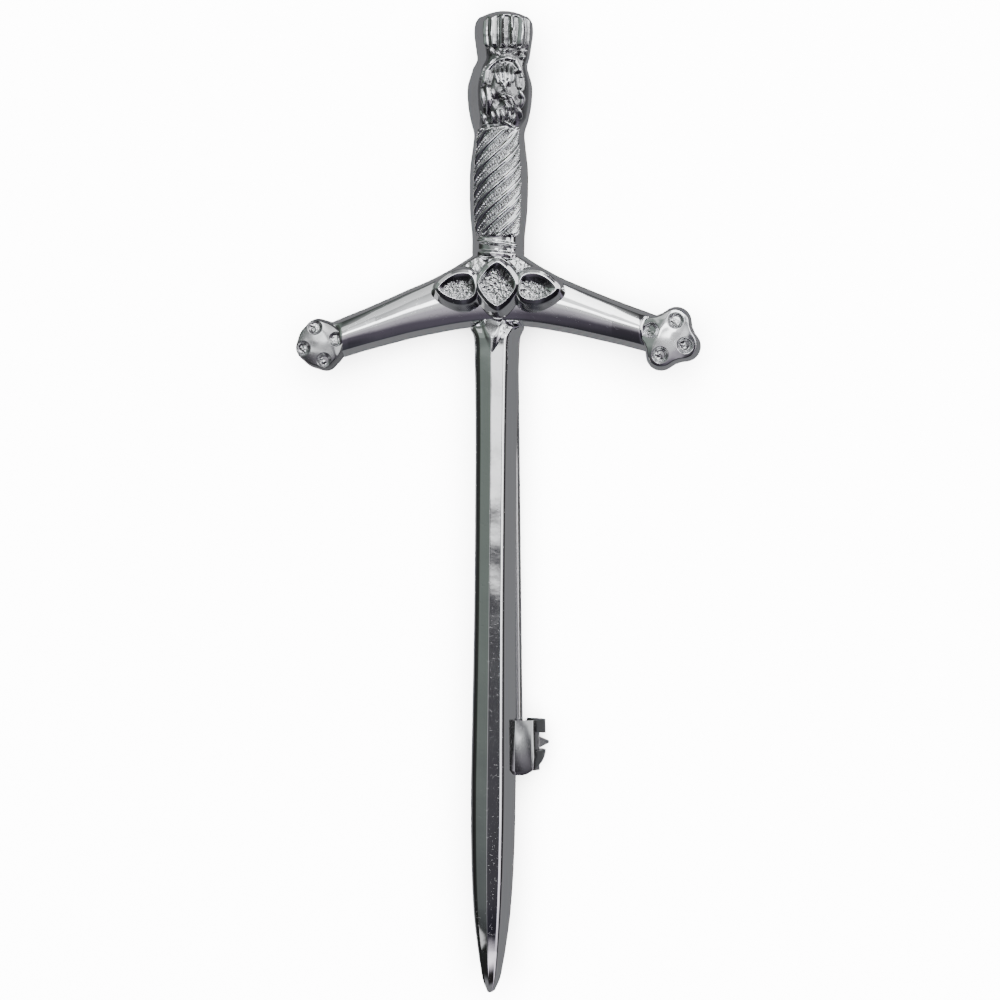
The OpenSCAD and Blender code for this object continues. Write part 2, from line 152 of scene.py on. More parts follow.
def rounded_path(
    u: np.ndarray, keys: Sequence[float], values: Sequence[np.ndarray | float], soft: float
) -> np.ndarray:
    """Reads a path of straight stretches with its corners rounded.

    Args:
        u: where to read.
        keys: where each corner lies.
        values: what each corner is worth, each one number or one for each place read.
        soft: half the length over which a corner is rounded.

    Returns:
        The values there.
    """
    total = np.zeros_like(u)
    shifts = np.linspace(-soft, soft, 9)
    for shift in shifts:
        at = np.clip(u + shift, keys[0], keys[-1])
        total += sum(
            np.where((at >= keys[i]) & ((at < keys[i + 1]) | (i == len(keys) - 2)),
                     values[i] + (values[i + 1] - values[i]) * (at - keys[i]) / (keys[i + 1] - keys[i]), 0)
            for i in range(len(keys) - 1)
        )
    return total / len(shifts)


def rotate(x: np.ndarray, y: np.ndarray, degrees: float) -> tuple[np.ndarray, np.ndarray]:
    """Turns places anticlockwise about the origin."""
    sine, cosine = math.sin(math.radians(degrees)), math.cos(math.radians(degrees))
    return x * cosine - y * sine, x * sine + y * cosine


def activate(piece: bpy.types.Object) -> None:
    """Selects one piece alone and makes it the active one.

    Args:
        piece: the object.
    """
    bpy.ops.object.select_all(action="DESELECT")
    piece.select_set(True)
    bpy.context.view_layer.objects.active = piece


@contextmanager
def editing(piece: bpy.types.Object) -> Iterator[None]:
    """Opens one piece alone in edit mode, with all of it selected.

    Args:
        piece: the mesh object to edit.
    """
    activate(piece)
    bpy.ops.object.mode_set(mode="EDIT")
    bpy.ops.mesh.select_all(action="SELECT")
    yield
    bpy.ops.object.mode_set(mode="OBJECT")


def bevel_edges(piece: bpy.types.Object, width: float, segments: int, angle: float) -> None:
    """Rounds the sharp edges of a piece.

    Args:
        piece: the mesh object.
        width: the width of the rounding, in metres.
        segments: how many faces go round it.
        angle: edges sharper than this many degrees are rounded.
    """
    bevel = piece.modifiers.new("bevel", "BEVEL")
    bevel.width, bevel.segments = width, segments
    bevel.limit_method, bevel.angle_limit = "ANGLE", math.radians(angle)
    bevel.use_clamp_overlap = True
    activate(piece)
    bpy.ops.object.modifier_apply(modifier=bevel.name)


def settle(piece: bpy.types.Object, angle: float) -> None:
    """Puts a piece's place into its mesh, points its faces outwards and shades it smooth.

    Args:
        piece: the mesh object.
        angle: edges sharper than this many degrees stay sharp.
    """
    activate(piece)
    bpy.ops.object.transform_apply(location=True, rotation=True, scale=True)
    with editing(piece):
        bpy.ops.mesh.normals_make_consistent(inside=False)
    bpy.ops.object.shade_smooth_by_angle(angle=math.radians(angle))


def store(piece: bpy.types.Object, stipple: np.ndarray, shade_and_dulling: np.ndarray) -> None:
    """Keeps two numbers for each point of a piece, for its finish to read.

    Args:
        piece: the mesh object.
        stipple: how stippled each point is.
        shade_and_dulling: how much painted shade and dulling each point takes.
    """
    for name, values in (("stipple", stipple), ("shade_and_dulling", shade_and_dulling)):
        attribute = piece.data.attributes.new(name, "FLOAT", "POINT")
        attribute.data.foreach_set("value", values.astype(np.float32))


def relief_sheet(name: str, across: int, along: int, sculpt: Sculpting) -> bpy.types.Object:
    """Makes a cast piece from a fine sheet that the sculpting wraps round it, then welds and closes it.

    Args:
        name: the piece's name.
        across: faces across the sheet.
        along: faces along the sheet.
        sculpt: takes places across and along from -1 to 1, and gives the sculpted points.

    Returns:
        The closed piece, standing on the casting's flat back.
    """
    bpy.ops.object.select_all(action="DESELECT")
    bpy.ops.mesh.primitive_grid_add(x_subdivisions=across, y_subdivisions=along, size=2.0)
    piece = bpy.context.object
    piece.name = name
    flat = np.empty(len(piece.data.vertices) * 3)
    piece.data.vertices.foreach_get("co", flat)
    flat = flat.reshape(-1, 3)
    points, stipple, shade_and_dulling = sculpt(flat[:, 0], flat[:, 1])
    piece.data.vertices.foreach_set("co", points.ravel())
    store(piece, stipple, shade_and_dulling)
    with editing(piece):
        bpy.ops.mesh.remove_doubles(threshold=WELD)
        bpy.ops.mesh.fill_holes(sides=0)
    settle(piece, SHEET_ANGLE)
    return piece


def feed(tree: bpy.types.NodeTree, node: bpy.types.Node, inputs: dict) -> None:
    """Links sockets to a node's inputs, or sets their values.

    Args:
        tree: the tree that the node is in.
        node: the node.
        inputs: for each input's name or number, an output to link or a value.
    """
    for key, value in inputs.items():
        if isinstance(value, bpy.types.NodeSocket):
            tree.links.new(value, node.inputs[key])
        else:
            node.inputs[key].default_value = value


def add_node(tree: bpy.types.NodeTree, kind: str, inputs: dict | None = None, **settings) -> bpy.types.Node:
    """Adds a shader node.

    Args:
        tree: the tree to add it to.
        kind: its type, without the leading word ShaderNode.
        inputs: what feeds its inputs, as in feed.
        settings: its own properties.

    Returns:
        The node.
    """
    node = tree.nodes.new("ShaderNode" + kind)
    for name, value in settings.items():
        setattr(node, name, value)
    feed(tree, node, inputs or {})
    return node


@dataclass(frozen=True)
class CastSurface:
    """The shader group that all pieces share: soft ripple, pits and the stippled grounds."""

    name: str = "cast_surface"
    ripple_scale: float = 900.0
    stipple_scale: float = 3600.0
    stipple_h: float = 2.2
    pit_scale: float = 2600.0
    pit_limit: float = 0.66
    pit_h: float = -0.4
    dull_scale: float = 1500.0

    def group(self) -> bpy.types.NodeTree:
        """Builds the group once, or finds it.

        Returns:
            The node group, which puts out a height, a mask of dull places and one of painted shade and
            dulling.
        """
        found = bpy.data.node_groups.get(self.name)
        if found:
            return found
        tree = bpy.data.node_groups.new(self.name, "ShaderNodeTree")
        add_socket = partial(tree.interface.new_socket, socket_type="NodeSocketFloat")
        inputs = {"Ripple Scale": self.ripple_scale, "Ripple": 0.35, "Pits": 0.25, "Stipple": 1.0}
        for name, value in inputs.items():
            add_socket(name, in_out="INPUT").default_value = value
        for name in ("Height", "Dull", "Depth"):
            add_socket(name, in_out="OUTPUT")
        given = tree.nodes.new("NodeGroupInput").outputs
        place = add_node(tree, "TexCoord").outputs["Object"]
        stipple = add_node(tree, "Attribute", attribute_name="stipple").outputs["Fac"]
        # Each piece's stored mask of painted shade and dulling.
        shade_and_dulling = add_node(tree, "Attribute", attribute_name="shade_and_dulling").outputs["Fac"]

        def maths(kind: str, a: object, b: object) -> bpy.types.NodeSocket:
            """Adds a Math node for two sockets or numbers and returns its result."""
            return add_node(tree, "Math", {0: a, 1: b}, operation=kind).outputs[0]

        def lumps(scale: object, detail: float) -> bpy.types.NodeSocket:
            """Adds a noise texture of a scale and returns its value."""
            inputs = {"Vector": place, "Detail": detail, "Scale": scale}
            return add_node(tree, "TexNoise", inputs).outputs["Fac"]

        ripple = maths("MULTIPLY", lumps(given["Ripple Scale"], 2.0), given["Ripple"])
        cells = add_node(tree, "TexVoronoi", {"Scale": self.stipple_scale, "Vector": place})
        pit_places = maths("GREATER_THAN", lumps(self.pit_scale, 1.0), self.pit_limit)
        pits = maths("MULTIPLY", maths("MULTIPLY", pit_places, self.pit_h), given["Pits"])
        rough = maths("MULTIPLY", stipple, given["Stipple"])
        bumps = maths("MULTIPLY", maths("SUBTRACT", 1.0, cells.outputs["Distance"]), rough)
        feed(tree, tree.nodes.new("NodeGroupOutput"), {
            "Height": maths("ADD", maths("ADD", ripple, pits), maths("MULTIPLY", bumps, self.stipple_h)),
            "Dull": maths("MULTIPLY", rough, lumps(self.dull_scale, 2.0)),
            "Depth": shade_and_dulling,
        })
        return tree


@dataclass(frozen=True)
class PlatedFinish:
    """Bright plate over cast metal, with painted shade darkening its recesses and hollows, which are also
    duller.

    Args:
        name: the material's name.
        slot: the record's slot; not used.
        bright: the plate's colour.
        painted_shade_colour: the colour of the painted shade in the recesses and hollows.
        roughness: of the smooth plate.
        ripple: height of the casting's soft ripple, as a share of the bump.
        bump: distance of the bump, in metres.
        dulling: how much rougher the deepest recesses are.
        stipple_dulling: how much of that the stippled grounds add.
    """

    name: str
    slot: Slot
    bright: Colour
    painted_shade_colour: Colour
    roughness: float
    ripple: float
    bump: float
    dulling: float = 0.22
    stipple_dulling: float = 0.25

    def material(self) -> bpy.types.Material:
        """Builds the material once, or finds it.

        Returns:
            The node material.
        """
        found = bpy.data.materials.get(self.name)
        if found:
            return found
        made = bpy.data.materials.new(self.name)
        made.use_nodes = True
        tree = made.node_tree
        surface = add_node(tree, "Group", node_tree=CastSurface().group())
        feed(tree, surface, {"Ripple": self.ripple})
        depth = surface.outputs["Depth"]
        # The tint mixes in painted shade: the darker colour wherever the shade and dulling mask is high.
        tint = add_node(tree, "Mix", {"A": (*self.bright, 1), "B": (*self.painted_shade_colour, 1), "Factor": depth},
                        data_type="RGBA")
        dull = add_node(tree, "Math", {0: surface.outputs["Dull"], 1: self.stipple_dulling, 2: depth},
                        operation="MULTIPLY_ADD")
        gloss = add_node(tree, "MapRange", {"To Min": self.roughness, "To Max": self.roughness + self.dulling,
                                            "Value": dull.outputs[0]})
        bump = add_node(tree, "Bump", {"Strength": 0.6, "Distance": self.bump,
                                       "Height": surface.outputs["Height"]})
        feed(tree, tree.nodes["Principled BSDF"], {
            "Metallic": 1.0, "Base Color": tint.outputs["Result"], "Roughness": gloss.outputs["Result"],
            "Normal": bump.outputs["Normal"],
        })
        return made


# Each row's second colour is its painted shade, for the recesses and hollows.
CHROME, WIRE, BACK, BARREL = (PlatedFinish(*row) for row in (
    ("bright_plate", Slot.CASTING, (0.88, 0.89, 0.90), (0.12, 0.12, 0.128), 0.06, 0.30, 0.02 * MM),
    ("drawn_wire", Slot.STEEL, (0.62, 0.62, 0.64), (0.50, 0.50, 0.52), 0.18, 0.20, 0.01 * MM),
    ("fitting_plate", Slot.CASTING, (0.34, 0.345, 0.35), (0.30, 0.30, 0.31), 0.17, 0.45, 0.02 * MM),
    ("barrel_plate", Slot.CASTING, (0.50, 0.50, 0.51), (0.4, 0.4, 0.4), 0.16, 0.45, 0.02 * MM),
))


def coat(piece: bpy.types.Object, finish: PlatedFinish) -> None:
    """Gives a piece or solid its finish in place of the materials it has."""
    piece.data.materials.clear()
    piece.data.materials.append(finish.material())


def dress(piece: bpy.types.Object, finish: PlatedFinish, body: str, node: str) -> None:
    """Gives a piece its finish and ties it to its body and the solid that it stands for.

    Args:
        piece: the mesh object.
        finish: its finish.
        body: the CAD body that it rides on.
        node: the CAD node that it replaces.
    """
    coat(piece, finish)
    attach(piece, body)
    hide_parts(node)
    faces = sum(len(p.vertices) - 2 for p in piece.data.polygons)
    log.info("%s: %d triangles", piece.name, faces)


@dataclass
class Handle:
    """The grip with its rope twist, and the thistle above it."""

    width: float = 6.8 * MM
    wall_h: float = 1.2 * MM
    crown_h: float = 1.5 * MM
    face: float = 0.78
    rim: float = 0.008
    relief_shift: float = 0.50 * MM
    lean: float = 0.34 * MM
    brow: float = 0.55 * MM
    rope_starts: int = 8
    rope_lead: float = 13.6 * MM
    rope_h: float = 0.34 * MM
    beads_a_turn: int = 64
    ring_h: float = 0.8
    rib_pitch: float = 0.39
    groove: float = 0.30 * MM
    shadow_h: float = 0.20 * MM
    # Shares of the sheet's half width where the face ends and where the wall reaches the back
    edge: float = 0.74
    foot: float = 0.90
    # Features along the handle, as shares of its length from the collar to the top
    collar: Stretch = (-0.06, 0.03, 0.01)
    low_ring: Stretch = (-0.018, 0.024, 0.014)
    high_ring: Stretch = (0.040, 0.066, 0.011)
    twist: Stretch = (0.075, 0.525, 0.02)
    bulb: Stretch = (0.51, 0.85, 0.02)
    neck: Stretch = (0.78, 0.85, 0.02)
    thistle_part: Stretch = (0.51, 0.98, 0.02)
    tuft: Stretch = (0.835, 0.982, 0.02)
    lip: Stretch = (0.962, 0.985, 0.010)
    leaning: Stretch = (0.76, 1.2, 0.05)
    # Where the painted shade is stronger, over the thistle
    painted_shade_part: Stretch = (0.53, 1.1, 0.02)
    # Rows of a share of the length, the width as a share of the widest, and the crown as a share
    sections: Profile = Profile((
        (-0.14, 0.70, 0.30), (-0.04, 0.78, 0.55), (0.00, 0.80, 0.70), (0.08, 0.81, 0.78), (0.18, 0.88, 0.92),
        (0.27, 0.90, 1.00), (0.36, 0.89, 0.96), (0.45, 0.81, 0.80), (0.50, 0.78, 0.72),
        (0.55, 0.88, 0.95), (0.64, 0.99, 1.20), (0.70, 0.98, 1.15), (0.745, 0.88, 0.95),
        (0.79, 0.80, 0.68), (0.84, 0.84, 0.72), (0.90, 0.90, 0.78), (0.94, 0.90, 0.76),
        (0.960, 0.885, 0.72), (0.976, 0.87, 0.62), (0.986, 0.86, 0.36), (0.992, 0.85, 0.0), (1.00, 0.84, 0.0),
    ))
    # Strokes of the thistle, in mm: the half width, the height (a hollow's is negative), and then the
    # places along the stroke, each across from the relief's middle and up from the collar
    strokes: Sequence[tuple[float, ...]] = (
        (0.24, 0.34, -1.75, 17.6, -1.45, 18.9, -0.7, 19.8, 0.2, 20.1, 1.05, 19.85, 1.65, 19.1, 1.95, 18.2),
        (0.2, 0.3, -0.75, 19.1, -0.35, 17.5), (0.19, 0.34, -0.3, 19.4, 0.02, 17.2),
        (0.19, 0.36, 0.15, 19.5, 0.4, 17.1), (0.19, 0.32, 0.58, 19.4, 0.78, 17.2),
        (0.17, 0.26, 1.0, 19.1, 1.1, 17.6), (0.16, 0.3, 0.75, 18.2, 0.15, 16.6),
        (0.16, 0.3, -0.1, 18.0, 0.55, 16.5), (0.27, 0.3, -1.2, 19.9, -2.05, 17.2),
        (0.16, 0.22, -1.75, 19.3, -2.3, 17.9), (0.24, 0.26, -2.1, 16.9, -1.85, 15.2),
        (0.26, 0.36, -1.45, 17.2, -1.25, 15.8, -1.45, 14.4), (0.17, 0.2, -1.0, 16.8, -0.85, 16.0),
        (0.2, 0.28, -0.15, 16.2, 0.45, 15.9), (0.24, 0.4, 0.35, 16.3, 0.95, 16.0, 1.28, 15.3, 1.15, 14.5),
        (0.17, 0.26, 0.35, 15.5, 0.62, 15.0, 0.55, 14.3), (0.24, 0.36, 1.75, 16.7, 2.05, 15.9, 1.9, 15.1),
        (0.2, 0.34, 0.0, 14.7, 0.35, 13.6), (0.18, 0.3, -0.5, 14.7, -0.1, 13.5),
        (0.2, 0.3, 0.75, 14.5, 0.85, 13.5), (0.18, 0.26, 1.25, 14.3, 1.15, 13.4),
        (0.18, 0.24, -1.0, 14.5, -0.75, 13.6), (0.15, 0.22, -1.95, 14.4, -1.6, 13.6),
        (0.13, 0.18, -2.35, 14.9, -2.05, 14.1), (0.19, 0.22, 1.7, 14.9, 1.95, 14.0),
        (0.13, 0.18, -1.45, 13.6, -1.2, 13.0), (0.15, 0.2, 0.35, 13.6, 1.55, 13.0),
        (0.42, -0.3, -0.4, 15.8, -0.35, 15.6), (0.26, -0.34, 1.65, 18.4, 1.75, 17.2),
        (0.18, -0.24, -0.95, 18.5, -1.25, 17.4), (0.12, -0.22, -2.2, 13.1, 0.1, 13.25),
        (0.3, 0.3, 0.35, 20.9, 0.36, 20.9), (0.26, 0.34, 0.85, 20.6, 0.86, 20.6),
        (0.27, 0.3, 1.3, 21.1, 1.31, 21.1), (0.28, 0.34, 1.6, 20.4, 1.7, 20.1),
        (0.18, 0.24, -0.4, 20.6, 0.0, 20.9), (0.17, 0.22, -1.1, 20.8, -0.7, 20.4),
        (0.22, 0.22, 0.8, 21.5, 0.81, 21.5), (0.2, 0.24, 1.9, 21.0, 1.95, 20.7),
        (0.16, 0.2, -1.6, 21.2, -1.35, 20.6),
    )

    def rope(self, y: np.ndarray, turn: np.ndarray) -> tuple[np.ndarray, np.ndarray]:
        """Shapes the rope twist: smooth strands, and beaded cords each between two thin lines.

        Args:
            y: the distance up the grip, in metres.
            turn: the angle round the face, in degrees.

        Returns:
            The height of the relief, and how beaded each place is.
        """
        phase = y * self.rope_starts / self.rope_lead - turn * self.rope_starts / 360
        part = phase - np.floor(phase)

        def ridge(middle: float, half: float) -> np.ndarray:
            """Gives one rounded ridge of the pattern, from 0 to 1."""
            gap = np.minimum(np.abs(part - middle), 1 - np.abs(part - middle))
            return unit(1 - (gap / half) ** 2)

        strand = np.maximum(ridge(0.20, 0.25), ridge(0.42, 0.07) * 0.6)
        beads = 0.45 + 0.55 * np.abs(np.sin(turn / 360 * self.beads_a_turn * math.pi))
        cord = ridge(0.69, 0.12) * beads * 0.85
        lines = 0.55 * np.maximum(ridge(0.525, 0.045), ridge(0.865, 0.045))
        return self.rope_h * np.maximum(np.maximum(strand, cord), lines), (cord > strand) * 1.0

    def thistle(self, across: np.ndarray, up: np.ndarray) -> np.ndarray:
        """Shapes the thistle's leaves, arch, curls and hollows from their strokes.

        Args:
            across: the place across from the relief's middle, in metres.
            up: the place up from the collar, in metres.

        Returns:
            The height of the relief, in metres.
        """
        raised = np.zeros_like(up)
        sunk = np.zeros_like(up)
        for half, tall, *places in self.strokes:
            chain = list(zip(places[::2], places[1::2]))
            for index, ((x0, y0), (x1, y1)) in enumerate(zip(chain, chain[1:])):
                run = np.array([x1 - x0, y1 - y0])
                dx, dy = across / MM - x0, up / MM - y0
                t = unit((dx * run[0] + dy * run[1]) / (run @ run))
                gap = np.hypot(dx - t * run[0], dy - t * run[1]) / half
                if tall > 0:
                    bow = np.sin(np.pi * (index + t) / (len(chain) - 1))
                    taper = 0.62 + 0.50 * bow
                    raised = np.maximum(raised, tall * ((0.6 + 0.4 * bow) * unit(1 - (gap / taper) ** 2)))
                else:
                    sunk = np.minimum(sunk, tall * np.exp(-(gap**2)))
        return (raised + sunk) * MM

    def plume(self, share: np.ndarray, sine: np.ndarray, across: np.ndarray, y: np.ndarray) -> np.ndarray:
        """Shapes the tuft's ribs and the lip over them.

        Args:
            share: the place along the handle.
            sine: the place across the face, from -1 to 1.
            across: the same in metres.
            y: the place along the sword, in metres.

        Returns:
            The height of the relief, in metres.
        """
        hair = sine + 0.05 * grain(np.stack([across, y * 0.4, 0 * y], 1), 0.8 * MM, 2.0)
        wave = np.pi * (hair + 0.15) / self.rib_pitch
        ribs, fine = np.cos(wave) ** 2, np.cos(wave * 4) ** 2
        lip = window(share, *self.lip) * np.exp(-(((sine - 0.1) / 0.5) ** 2))
        tuft = window(share, *self.tuft)
        return self.groove * (ribs**1.7 + 0.14 * fine) * tuft * (1 - lip) + 0.8 * self.groove * lip

    def sculpt(self, u: np.ndarray, v: np.ndarray) -> Sculpted:
        """Places the sheet's points over the handle's face, sloping walls and back.

        Args:
            u: places across the sheet, from -1 to 1.
            v: places along it, from -1 to 1.

        Returns:
            The points, how stippled each is and how much painted shade and dulling each takes.
        """
        low = self.sections.rows[0][0]
        share = low + (v + 1) / 2 * (1 - low)
        up = share * HANDLE_LEN
        crown = self.crown_h * self.sections.at(share, 2)
        wall_h = self.wall_h * unit((1 - share) / self.rim)
        shift = self.relief_shift * (unit((share - 0.50) / 0.06) * unit((1 - share) / 0.03))
        lean = self.lean * window(share, *self.leaning)
        half = self.width / 2 * self.sections.at(share, 1)
        face = half * self.face
        half = face + (half - face) * np.sqrt(unit(1 - (unit(share - 0.955) / 0.045) ** 2))
        side = np.abs(u)
        turn = np.clip(u / self.edge, -1, 1) * 90
        sine, cosine = np.sin(np.radians(turn)), np.cos(np.radians(turn))
        front = unit(cosine * 3)
        keys = (self.edge - 0.06, self.edge, self.foot, 1)
        out = rounded_path(side, keys, (0.0, 0.0, 1.0, 1.0), 0.012)
        under = rounded_path(side, keys, (1.0, 1.0, 1.0, 0.0), 0.004)
        y = COLLAR_Y + up - self.brow * sine**2 * ease((share - 0.88) / 0.12)
        across = face * sine

        rope, beads = self.rope(up, turn)
        twist = window(share, *self.twist)
        collar = window(share, *self.collar)
        tuft = window(share, *self.tuft)
        sway = 0.10 * grain(np.stack([across, y, 0 * u], 1), 2.2 * MM, 1.0)
        rings = window(share + 0.012 * (sine + sway), *self.high_ring)
        rings += 0.85 * window(share + 0.006 * sine, *self.low_ring)
        relief = rope * twist + self.rope_h * self.ring_h * rings + self.thistle(across, up)
        relief += self.plume(share, sine, across, y)
        relief *= unit(cosine * 2.2) * unit((0.991 - share) / 0.008)
        rounded = np.stack([across, y, crown * cosine], 1)
        lumps = grain(rounded, 0.60 * MM, 3.0) * 0.060 * MM + grain(rounded, 0.24 * MM, 9.0) * 0.014 * MM
        busy = 0.5 * window(share, *self.bulb) + 0.5 * window(share, *self.neck)
        busy += 0.25 * tuft + (0.12 + 0.6 * beads) * twist + 0.9 * collar
        relief += 1.1 * lumps * (0.12 + unit(busy)) * front

        x = ((shift + across + relief * sine) * (1 - out) + np.sign(u) * half * out) * under + lean
        z = BACK_Z + wall_h * (1 - out) + (crown + relief) * cosine
        # Painted shade: the low parts of the twist's and thistle's relief get the darker tint, more of it
        # over the thistle.
        depth = unit(1 - relief / self.shadow_h) * front * unit(twist + window(share, *self.thistle_part))
        rough = (0.7 * beads * twist + collar) * front
        return np.stack([x, y, z], 1), 0.3 * rough, (0.42 + 0.30 * window(share, *self.painted_shade_part)) * depth

    def build(self) -> bpy.types.Object:
        """Makes the handle, finished."""
        return relief_sheet("grip_and_thistle", 140, 640, self.sculpt)


@dataclass
class Blade:
    """The long blade with its low ridge and sloping walls, and the V tongue below the boss."""

    width: float = 4.66 * MM
    wall_h: float = 2.1 * MM
    ridge_h: float = 0.55 * MM
    ridge_x: float = -0.42 * MM
    left_draft: float = 0.16 * MM
    right_draft: float = 1.05 * MM
    left_bevel: float = 1.2 * MM
    right_bevel: float = 1.0 * MM
    guard_h: float = 6.6 * MM
    tongue_len: float = 3.6 * MM
    tongue_half: float = 1.7 * MM
    tongue_h: float = 0.05 * MM
    sink_from: float = 1.3 * MM
    sink_len: float = 3.0 * MM
    sink_h: float = 1.1 * MM
    # Rows of a share of the length, the width as a share of the widest, and the ridge as a share
    sections: Profile = Profile((
        (-0.06, 0.80, 1.0), (-0.014, 0.90, 1.0), (-0.005, 1.08, 1.0), (0.000, 1.20, 1.0), (0.004, 1.19, 1.0),
        (0.009, 1.12, 1.0), (0.015, 1.05, 1.0), (0.025, 1.01, 1.0), (0.05, 0.99, 1.0), (0.10, 0.95, 1.0),
        (0.30, 0.91, 1.0), (0.45, 0.92, 1.0), (0.60, 0.97, 1.0), (0.70, 1.00, 1.0), (0.78, 0.97, 1.0),
        (0.84, 0.90, 1.0), (0.89, 0.79, 1.0), (0.93, 0.64, 0.97), (0.96, 0.50, 0.92), (0.985, 0.34, 0.84),
        (1.00, 0.14, 0.76),
    ))

    def sculpt(self, u: np.ndarray, v: np.ndarray) -> Sculpted:
        """Places the sheet's points over the blade's two facets, its walls and its back.

        Args:
            u: places across the sheet, from -1 to 1.
            v: places along it, from -1 to 1.

        Returns:
            The points, how stippled each is and how much painted shade and dulling each takes.
        """
        root = GUARD_Y - self.guard_h / 2
        length = root + LENGTH / 2
        start = self.sections.rows[0][0]
        run = (1 - v) / 2
        share = start + (1 - start) * (0.55 * run + 0.45 * run**2)
        half = self.width / 2 * self.sections.at(share, 1)
        slim = unit(half / (self.width / 2))
        side = np.abs(u)
        ridge_x = self.ridge_x * slim
        face = np.where(u < 0, -(half - self.left_draft * slim), half - self.right_draft * slim)
        bevel = np.where(u < 0, -self.left_bevel, self.right_bevel) * slim
        keys = (0.0, 0.46, 0.52, 0.58, 0.82, 1.0)
        reaches = (ridge_x, face - 0.48 * bevel, face - 0.20 * bevel, face, np.sign(u) * half, 0.0)
        x = rounded_path(side, keys, reaches, 0.014)
        x = np.where(side < 0.024, ridge_x + (x - ridge_x) * side / 0.024, x) * unit((1 - side) / 0.02)
        wall_z = self.wall_h * np.clip(slim * 1.2, 0.72, 1) ** 0.5
        ridge_z = wall_z + self.ridge_h * self.sections.at(share, 2)
        drop = np.abs(bevel)
        heights = (ridge_z, wall_z + 0.17 * drop, wall_z - 0.01 * drop, wall_z - 0.20 * drop, 0.0, 0.0)
        z = BACK_Z + rounded_path(side, keys, heights, 0.014)
        y = root - share * length
        points = np.stack([x, y, z], 1)

        top = unit((0.52 - side) / 0.04)
        sink = ease((y - root + self.sink_from) / self.sink_len)
        points[:, 2] -= self.sink_h * sink * unit((0.7 - side) / 0.1)
        down = (root + 0.8 * MM - y) / self.tongue_len
        reach = self.tongue_half * unit(1 - down) ** 0.8
        raised = ease(unit((reach - np.abs(x - ridge_x * 0.6)) / (0.85 * MM)) * (down < 1))
        slant = down - 0.22 * np.clip(x / MM, -1, 2) + 0.10 * grain(points, 0.5 * MM, 16.0)
        patch = unit((0.30 - slant) / 0.06) * unit((x / MM - 0.35) / 0.3) * (1 - raised) * top
        patch = patch + 0.5 * unit((-0.02 - slant) / 0.1) * unit((-x / MM - 0.9) / 0.3) * top
        flat = 0.55 * (ridge_z - wall_z) * unit(np.abs(x - ridge_x) / (1.3 * MM))
        points[:, 2] += (self.tongue_h * raised + flat * raised - 0.06 * MM * patch) * top
        points[:, 2] += grain(points, 0.20 * MM, 15.0) * 0.06 * MM * patch
        points[:, 2] += grain(points, 3.2 * MM, 5.0) * 0.020 * MM * unit(1.4 - side * 1.6)
        # Painted shade and dulling over the raised tongue and the stippled patches.
        return points, patch, np.maximum(0.3 * patch, 0.45 * raised * top)

    def build(self) -> bpy.types.Object:
        """Makes the blade, finished."""
        return relief_sheet("blade", 110, 700, self.sculpt)


@dataclass(frozen=True)
class GuardEnd:
    """Sizes of one four-lobed end: its side (1 is right) and its turn in degrees, how far out its
    lobes lie and their radius, the radius of its middle, its dimples, and how much painted shade and dulling
    its flat takes.
    """

    name: str
    side: int
    turn: float
    lobe_out: float
    lobe_r: float
    middle_r: float
    dimple_r: float
    dimple_depth: float
    tone: float

    def outline(self, angle: np.ndarray) -> np.ndarray:
        """Radius of the end at an angle, with its lobes blended softly into its round middle.

        Args:
            angle: in radians, from one lobe's middle.

        Returns:
            The radius, in metres.
        """
        off = np.mod(angle + math.pi / 4, math.pi / 2) - math.pi / 4
        inside = np.clip(self.lobe_r**2 - (self.lobe_out * np.sin(off)) ** 2, 0, None)
        reach = self.lobe_out * np.cos(off) + np.sqrt(inside)
        soft = 0.35 * MM
        blend = np.clip(soft - np.abs(reach - self.middle_r), 0, None)
        return np.maximum(reach, self.middle_r) + blend**2 / (4 * soft)


